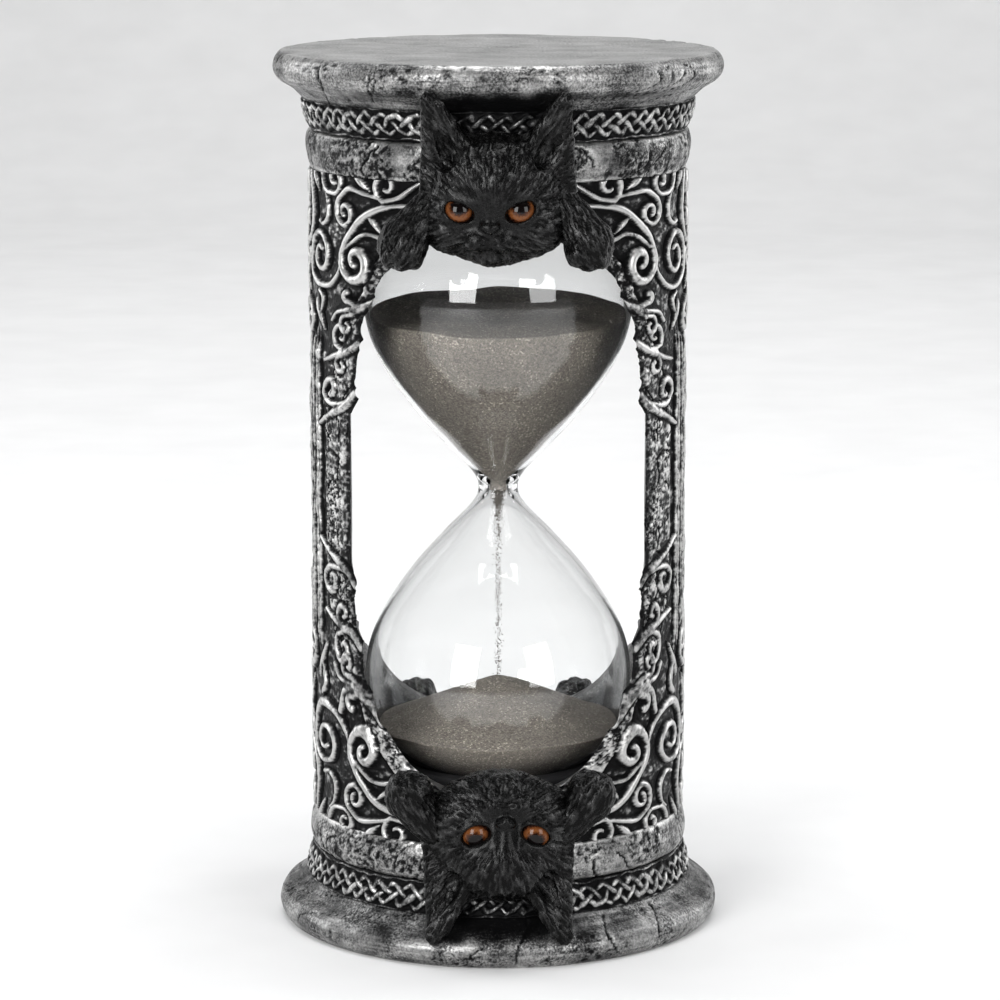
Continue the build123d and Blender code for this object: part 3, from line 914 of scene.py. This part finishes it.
class Clay:
    """A solid shaped from rounded lumps on a grid of distances; the grid covers low to high."""

    def __init__(self, low, high):
        self.low = np.array(low, float)
        counts = np.ceil((np.array(high) - low) / VOXEL).astype(int) + 1
        axes = [low[i] + VOXEL * np.arange(counts[i]) for i in range(3)]
        grids = np.meshgrid(*axes, indexing="ij", sparse=True)
        self.x, self.y, self.z = [grid.astype(np.float32) for grid in grids]
        self.field = np.full(counts, 9.0, np.float32)

    def ball(self, centre, radii, tilt=0.0):
        """Distance to an ellipsoid, tilted about Y by tilt degrees."""
        x, y, z = self.x - centre[0], self.y - centre[1], self.z - centre[2]
        c, s = math.cos(math.radians(tilt)), math.sin(math.radians(tilt))
        x, z = c * x + s * z, -s * x + c * z
        near = np.sqrt((x / radii[0]) ** 2 + (y / radii[1]) ** 2 + (z / radii[2]) ** 2)
        steep = np.sqrt((x / radii[0] ** 2) ** 2 + (y / radii[1] ** 2) ** 2 + (z / radii[2] ** 2) ** 2)
        return near * (near - 1) / (steep + 1e-6)

    def limb(self, a, b, radius_a, radius_b, flat=1.0):
        """Distance to a tapering rod between two points, flat squashing it along Y."""
        a, b = np.array(a, float), np.array(b, float)
        a[1], b[1] = a[1] / flat, b[1] / flat
        along = b - a
        px, py, pz = self.x - a[0], self.y / flat - a[1], self.z - a[2]
        t = unit((px * along[0] + py * along[1] + pz * along[2]) / (along @ along))
        gap = np.sqrt((px - t * along[0]) ** 2 + (py - t * along[1]) ** 2 + (pz - t * along[2]) ** 2)
        return (gap - (radius_a + (radius_b - radius_a) * t)) * min(flat, 1.0)

    def add(self, distance, soft=1.5):
        h = unit(0.5 + 0.5 * (distance - self.field) / soft)
        self.field = (distance * (1 - h) + self.field * h - soft * h * (1 - h)).astype(np.float32)

    def cut(self, distance, soft=0.6):
        h = unit(0.5 - 0.5 * (self.field + distance) / soft)
        self.field = (self.field * (1 - h) - distance * h + soft * h * (1 - h)).astype(np.float32)

    def skin(self):
        """Points, quads wound outwards, and outward normals of the surface."""
        grid = openvdb.FloatGrid(background=3.0)
        grid.copyFromArray(np.clip(self.field, -3, 3))
        points, quads = grid.convertToQuads(isovalue=0.0)
        index = np.clip(np.round(points).astype(int), 1, np.array(self.field.shape) - 2)
        steps = np.eye(3, dtype=int)
        ahead, behind = ([self.field[tuple((index + way * step).T)] for step in steps] for way in (1, -1))
        normal = np.stack(ahead, 1) - np.stack(behind, 1)
        normal /= np.linalg.norm(normal, axis=1, keepdims=True) + 1e-9
        points = points * VOXEL + self.low
        a, b, c = (points[quads[:, corner]] for corner in range(3))
        facing = np.einsum("ij,ij->i", np.cross(b - a, c - a), normal[quads[:, 0]])
        return points, quads[:, ::-1] if np.median(facing) < 0 else quads, normal


def combed(points, flow, size=0.45, reach=1.5, seed=81):
    """Fur: noise smeared along the flow, so that it runs in strands."""
    flow = flow / (np.linalg.norm(flow, axis=1, keepdims=True) + 1e-9)
    total = 0
    for step in np.linspace(-reach, reach, 9):
        x, y, z = ((points + step * flow) / size).T
        total = total + noise(x, y, z, seed)
    return total / 9 * 2.6


def cat_ear(clay, side):
    """A broad upright ear, hollow in front, with a fold along its inner edge."""
    tip = (side * 13.4 - 0.3, -45.2, 178.3)
    for foot, thick in (((13.2, -40.5, 159.5), 2.6), ((9.6, -40.8, 163.5), 4.6), ((5.6, -41.0, 166.5), 3.0)):
        clay.add(clay.limb((side * foot[0], foot[1], foot[2]), tip, thick, 1.0, 0.6), 1.2)
    clay.cut(clay.limb((side * 9.8, -45.4, 167.5), (side * 12.9 - 0.3, -48.2, 177.0), 3.4, 1.0, 0.75), 0.8)
    clay.add(clay.limb((side * 6.2, -44.2, 167.6), (side * 11.2 - 0.3, -45.9, 177.0), 1.3, 0.7), 1.6)


def cat_head():
    """The upper front cat's head, with fur."""
    clay = Clay((-19.0, -53.5, 142.0), (19.0, -28.5, 181.5))
    clay.add(clay.ball((-0.3, -38.5, 158.0), (14.6, 9.6, 13.4)))
    clay.add(clay.ball((-1.0, -42.4, 163.8), (11.0, 7.6, 7.4)), 3.0)
    for side in (-1, 1):
        cat_ear(clay, side)
        clay.add(clay.ball((side * 9.2 - 0.8, -40.6, 153.2), (5.4, 5.4, 5.4)), 3.0)
        clay.add(clay.ball((FACE_X + side * 2.2, -45.9, 150.5), (2.9, 2.2, 2.3)), 1.4)
    clay.add(clay.limb((FACE_X, -47.6, 161.0), (FACE_X, -47.2, 153.6), 2.6, 1.5), 1.6)
    clay.add(clay.ball((FACE_X + 0.3, -42.6, 147.6), (3.6, 3.2, 2.7)), 1.8)
    for side in (-1, 1):
        eye_x = FACE_X + side * EYE_APART
        clay.add(clay.ball((eye_x, -44.9, EYE_HEIGHT), (4.1, 3.3, 3.6), side * -14), 1.0)
        clay.cut(clay.ball((eye_x + side * 0.1, -48.8, EYE_HEIGHT), (3.4, 4.6, 2.2), side * 25), 0.4)
        brow = ((eye_x + side * 3.4, -45.6, EYE_HEIGHT + 4.1), (eye_x - side * 2.4, -47.2, EYE_HEIGHT + 1.9))
        clay.add(clay.limb(*brow, 0.9, 1.0), 1.2)
    clay.add(clay.ball((FACE_X, -48.6, 153.5), (1.9, 0.9, 0.8)), 0.9)
    clay.add(clay.ball((FACE_X, -48.8, 152.8), (0.8, 0.7, 0.8)), 0.6)
    for side in (-1, 1):
        clay.cut(clay.ball((FACE_X + side * 1.1, -49.4, 152.8), (0.45, 0.5, 0.25), side * 30), 0.25)
        clay.cut(clay.limb((FACE_X, -48.5, 150.2), (FACE_X + side * 2.0, -47.6, 149.9), 0.2, 0.1), 0.4)
    clay.cut(clay.limb((FACE_X, -49.1, 152.0), (FACE_X, -48.7, 150.6), 0.18, 0.18), 0.3)
    points, quads, normal = clay.skin()

    nose = np.array([FACE_X, -49.0, 154.0])
    away = np.linalg.norm(points - nose, axis=1)
    eyes = [np.linalg.norm(points - (FACE_X + s * EYE_APART, -47, EYE_HEIGHT), axis=1) for s in (-1, 1)]
    strength = smoothstep(2.5, 9.0, away) * (0.3 + 0.7 * smoothstep(3.0, 4.6, np.minimum(*eyes)))
    return furry(points, quads, normal, points - nose, strength)


def furry(points, quads, normal, flow, strength=1.0, seed=81):
    """Points pushed out along the normal by strokes and tufts combed along the flow, and their tone, which
    is higher on raised strands and is painted as a highlight by the fur's material.
    """
    flow = flow - normal * np.einsum("ij,ij->i", flow, normal)[:, None]
    strands = combed(points, flow, 0.3, 0.55, seed)
    tufts = combed(points, flow, 0.75, 1.1, seed + 4)
    fur = strength * (0.12 * strands + 0.14 * tufts)
    tone = unit(0.45 + strength * (0.35 * strands + 0.3 * tufts))
    return points + normal * fur[:, None], quads, tone


def cat_forelegs():
    """The upper front cat's two forelegs and paws, with toes and fur."""
    clay = Clay((-27.0, -51.0, 141.0), (26.0, -33.0, 164.0))
    for side in (-1, 1):
        x = side * 18.6 - 0.4
        clay.add(clay.limb((side * 13.0, -40.0, 156.5), (x, -41.4, 150.5), 4.0, 4.3), 1.0)
        clay.add(clay.ball((x, -41.8, 149.0), (5.0, 4.6, 4.9), side * -15), 1.2)
        for toe, drop in ((-2.8, 0.8), (-0.2, 0.0), (2.4, 0.5)):
            clay.add(clay.ball((x + toe, -43.2, 146.4 + drop), (1.7, 2.8, 2.4)), 0.6)
    points, quads, normal = clay.skin()
    side = np.sign(points[:, :1])
    flow = np.hstack([side * 0.6, -0.3 + 0 * side, -1.0 + 0 * side])
    return furry(points, quads, normal, flow, seed=91)


def cat_eye(side):
    """One domed eye; tone is the distance from the middle of its pupil."""
    rings, columns, radius = 40, 48, 3.1
    centre = np.array([FACE_X + side * EYE_APART, -44.9, EYE_HEIGHT])
    phi, turn = np.meshgrid(np.linspace(0.02, math.pi - 0.02, rings), full_turn(columns), indexing="ij")
    ball = np.stack([np.sin(phi) * np.cos(turn), -np.cos(phi), np.sin(phi) * np.sin(turn)], -1)
    points = ball * radius * (1.0, 0.92, 0.95) + centre
    gaze = np.array([0.03, -1.0, 0.42])
    gaze /= np.linalg.norm(gaze)
    tone = np.arccos(np.clip(ball @ gaze, -1, 1)) / 1.25
    return points.reshape(-1, 3), ringed_faces(rings, columns), unit(tone).ravel()


def cats(fur, eye):
    head, legs = cat_head(), cat_forelegs()
    eyes = [cat_eye(side) for side in (-1, 1)]
    for place, turn in PLACES.items():
        for name, node, (points, quads, tone) in (("cat", "head", head), ("forelegs", "paws", legs)):
            faces = quads.tolist()
            new_piece(f"{place}_{name}", turn(points), faces, fur, f"{place}_cat_{node}", tone)
        for side, (points, faces, tone) in zip(("left", "right"), eyes):
            name = f"{place}_{side}_eye"
            new_piece(name, turn(points), faces, eye, f"{place}_cat_eyes", tone)


# ---- glass and sand

GLASS_WALL = 1.5
NECK_BORE, NECK_OUTSIDE = 1.9, 4.2
BULB_COLUMNS = 160
BULB_CENTRE, BULB_RADIUS, BULB_END = 38.0, 28.4, 62.3
BULB_OUTLINE = (
    (3.5, 5.6), (10.0, 11.8), (17.0, 18.0), (25.0, 23.6), (32.0, 27.0),
    (39.5, 28.4), (47.0, 28.0), (54.5, 25.0), (60.0, 17.2),
)


def bulb_profile(inset, neck, step=0.8):
    """The bulb's outline (radius, height) from its lower end to its upper end, inset by a wall."""
    inset_at = {reach: inset * (1 - 0.45 * min(reach / BULB_CENTRE, 1)) for reach, _ in BULB_OUTLINE}
    shrink = 1 - inset_at[39.5] / BULB_RADIUS
    half = [
        (radius - inset_at[reach], reach)
        if reach < BULB_CENTRE
        else (radius * shrink, BULB_CENTRE + (reach - BULB_CENTRE) * shrink)
        for reach, radius in BULB_OUTLINE
    ]
    end = BULB_CENTRE + (BULB_END - BULB_CENTRE) * shrink
    tip = [(BULB_OUTLINE[-1][1] * shrink * 0.5, end - 0.5)]
    points = [(neck, 0.0)] + half + tip + [(0.3, end)]
    whole = [(r, MID - d) for r, d in reversed(points[1:])] + [(r, MID + d) for r, d in points]
    return curve_through(whole, step)


def glass_bulb(material):
    points, faces, _ = revolve(bulb_profile(0.0, NECK_OUTSIDE), BULB_COLUMNS)
    inside, inside_faces, _ = revolve(bulb_profile(GLASS_WALL, NECK_BORE), BULB_COLUMNS)
    faces += [[len(points) + i for i in face[::-1]] for face in inside_faces]
    both = np.vstack([points, inside])
    bulb = new_piece("blown_bulb", both, faces, material, "glass_bulb")
    bulb.visible_shadow = False


def inner_radius_at(z):
    """The bulb's inside radius at a height, less a hair."""
    inner = bulb_profile(GLASS_WALL, NECK_BORE, 0.4)
    return np.interp(z, inner[:, 1], inner[:, 0]) - 0.08


def sand_body(name, node, surface, bottom, material, painted_wall_light):
    """Sand below a surface of heights; the last argument is how much paler the sand is painted where it lies
    against the glass, painted light on its side, which faces down, away from the lamps.
    """
    columns, rings = 200, 70
    angle = full_turn(columns)
    sin, cos = np.sin(angle), -np.cos(angle)
    edge = np.full(columns, 24.0)
    for _ in range(12):
        edge = inner_radius_at(surface(edge * sin, edge * cos))
    rim_z = surface(edge * sin, edge * cos)
    t = np.linspace(0, 1, 90)[:, None]
    wall_z = bottom * (1 - t) + rim_z[None] * t
    wall_r = inner_radius_at(wall_z)
    wall = np.stack([wall_r * sin, wall_r * cos, wall_z], -1)
    s = np.linspace(1, 0.01, rings)[1:, None]
    top_r = edge[None] * s
    x, y = top_r * sin, top_r * cos
    grains = 0.07 * noise(x / 0.4, y / 0.4, x * 0, 101) + 0.1 * noise(x / 2.5, y / 2.5, x * 0, 102)
    top = np.stack([x, y, surface(x, y) + grains], -1)
    points = np.vstack([wall.reshape(-1, 3), top.reshape(-1, 3)])
    tone = np.zeros(len(points))
    tone[: wall_z.size] = painted_wall_light
    new_piece(name, points, ringed_faces(len(points) // columns, columns), material, node, tone)


def upper_surface(x, y):
    """Level sand with a shallow crater, a little higher at the rear."""
    r = np.hypot(x, y)
    return 129.9 + 0.06 * y - 2.6 * np.exp(-((r / 9.0) ** 2)) + 0.35 * noise(x / 7, y / 7, x * 0, 105)


def lower_surface(x, y):
    """A low cone with a rounded peak under the stream."""
    r = np.hypot(x, y)
    return 52.2 - 0.42 * np.sqrt(r**2 + 6.0) + 0.3 * noise(x / 6, y / 6, x * 0, 107)


GRAINS = 2100
GRAIN_POINTS = np.array([(1, 0, 0), (-1, 0, 0), (0, 1, 0), (0, -1, 0), (0, 0, 1), (0, 0, -1)], float)
GRAIN_FACES = ((0, 2, 4), (2, 1, 4), (1, 3, 4), (3, 0, 4), (2, 0, 5), (1, 2, 5), (3, 1, 5), (0, 3, 5))


def falling_stream(material):
    """The thin stream as loose grains, thick where it leaves the neck and then narrow."""
    rng = random.Random(12)
    points, faces = [], []
    for number in range(GRAINS):
        fallen = rng.expovariate(0.4) if number % 3 else rng.uniform(0, 42.5)
        spread = 0.36 + 0.54 * math.exp(-fallen / 2.2) + 0.12 * math.exp(-fallen / 15)
        x, y = rng.gauss(0, spread), rng.gauss(0, spread)
        reach = min(1.0, 1.5 / (math.hypot(x, y) + 1e-6))
        size, z = rng.uniform(0.08, 0.15), MID + 0.2 - min(fallen, 42.5)
        points.append(GRAIN_POINTS * size + (x * reach, y * reach, z))
        faces += [[corner + 6 * number for corner in face] for face in GRAIN_FACES]
    new_piece("sand_stream", np.vstack(points), faces, material, "falling_sand")


def foam_seat(place, material):
    """A foam ring with a rounded upper edge, dished to the end of the bulb."""
    low, high = heights("lower_bulb_cushion")
    hole, side = 8.0, 23.9
    outer = bulb_profile(0.0, NECK_OUTSIDE, 0.4)
    dish = outer[(outer[:, 1] < high) & (outer[:, 0] > hole)]
    walls = run((hole, low), (side, low), (side, high - 1.0), step=1.0)
    edge = arc((side - 0.8, high - 0.9), 0.8, 0, 90, 6)
    top = run((side - 0.9, high - 0.1), (dish[-1, 0] + 0.5, high - 0.1), step=1.0)
    points, faces, _ = revolve(np.vstack([walls, edge, top, dish[::-1] - (0.0, 0.15)]), 128, loop=True)
    grain = 0.06 * noise(*(points.T / 0.9), 121)
    points[:, 2] += grain * (points[:, 2] > high - 3)
    seat = end_piece(place, "foam_seat", points, faces, material, "bulb_cushion")


# ---- stage, lights and camera


def stage():
    g = Graph("floor")
    grain = g.noise(40.0, detail=2)
    g.set(Base_Color=g.ramp(grain, (0.3, 0.74), (0.7, 0.78)), Roughness=0.75)
    depth, reach, sweep = 1.2, 3.0, 0.6
    profile = [(-reach, 0.0), (depth, 0.0)]
    bend = np.linspace(0.1, math.pi / 2, 16)
    profile += [(depth + sweep * math.sin(a), sweep * (1 - math.cos(a))) for a in bend]
    profile.append((depth + sweep, reach))
    points = [(side * reach, y, z) for y, z in profile for side in (-1, 1)]
    faces = [[2 * i, 2 * i + 1, 2 * i + 3, 2 * i + 2] for i in range(len(profile) - 1)]
    add_mesh("floor", points, faces, g.owner)


def softbox(name, place, size, power, aim=(0.0, 0.0, 0.1), through_glass=True):
    light = bpy.data.lights.new(name, "AREA")
    light.shape = "RECTANGLE"
    light.size, light.size_y = size
    light.energy = power
    lamp = add_object(name, light)
    lamp.location = place
    lamp.visible_transmission = through_glass
    lamp.rotation_euler = (Vector(aim) - Vector(place)).to_track_quat("-Z", "Y").to_euler()


def lights():
    softbox("left", (-0.404, -0.70, 0.33), (0.34, 0.52), 5.4)
    softbox("right", (0.498, -0.637, 0.33), (0.34, 0.52), 3.0)
    softbox("top", (0.0, -0.1, 0.9), (0.6, 0.5), 4.4)
    softbox("left_edge", (-0.65, 0.3, 0.25), (0.35, 0.7), 2.6, through_glass=False)
    softbox("right_edge", (0.65, 0.3, 0.25), (0.35, 0.7), 2.6, through_glass=False)
    softbox("backdrop", (0.0, 0.75, 1.1), (1.6, 0.5), 12.0, (0.0, 1.5, 0.15))
    world = Graph("studio", "worlds", "Background")
    direction = world.node("SeparateXYZ", {0: world.node("TexCoord").outputs["Generated"]})
    strength = world.span(direction.outputs["Y"], -0.25, 0.25, 0.05, 0.75)
    world.set(Color=(0.9, 0.92, 0.95, 1), Strength=strength)
    bpy.context.scene.world = world.owner
    bpy.context.scene.view_settings.view_transform = "Standard"


CAMERA_PLACE = (0.0004, -0.8301, 0.2455)
CAMERA_DIP = 10.645
CAMERA_LENS = 142.9


def camera():
    data = bpy.data.cameras.new("camera")
    data.lens = CAMERA_LENS
    data.sensor_width = 36.0
    view = add_object("camera", data)
    view.location = CAMERA_PLACE
    view.rotation_euler = (math.radians(90 - CAMERA_DIP), 0, 0)
    bpy.context.scene.camera = view


camera()
stage()
lights()

cast = antique_silver("cast_sleeve", speckle=0.2)
ring_cast = antique_silver("cast_rings", streak=0.08, speckle=0.34)
plate_cast = antique_silver("cast_plates", streak=0.12, speckle=0.34, broad_swing=0.04)
for side in (-1, 1):
    for place in ("lower", "upper"):
        sleeve_quarter(side, place, cast)
for place, seed in (("lower", 5), ("upper", 6)):
    end_plate(place, plate_cast, seed)
    knotwork_band(place, ring_cast)
    collar(place, ring_cast, 200 + 10 * seed)

cats(black_fur(), amber_eye())

glass_bulb(clear_glass())
sand = sand_grains()
sand_body("upper_sand_bed", "upper_sand", upper_surface, MID - 0.5, sand, 0.0)
sand_body("lower_sand_pile", "lower_sand", lower_surface, MID - BULB_END + GLASS_WALL + 0.25, sand, 0.16)
falling_stream(sand)
foam = dull("foam", (0.02, 0.02, 0.022), 0.9, 0.6, 0.1)
for place in ("lower", "upper"):
    foam_seat(place, foam)

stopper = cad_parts["filling_stopper"]
stopper.data.materials.clear()
stopper.data.materials.append(dull("stopper", (0.75, 0.74, 0.7), 0.5, 0.8, 0.02))
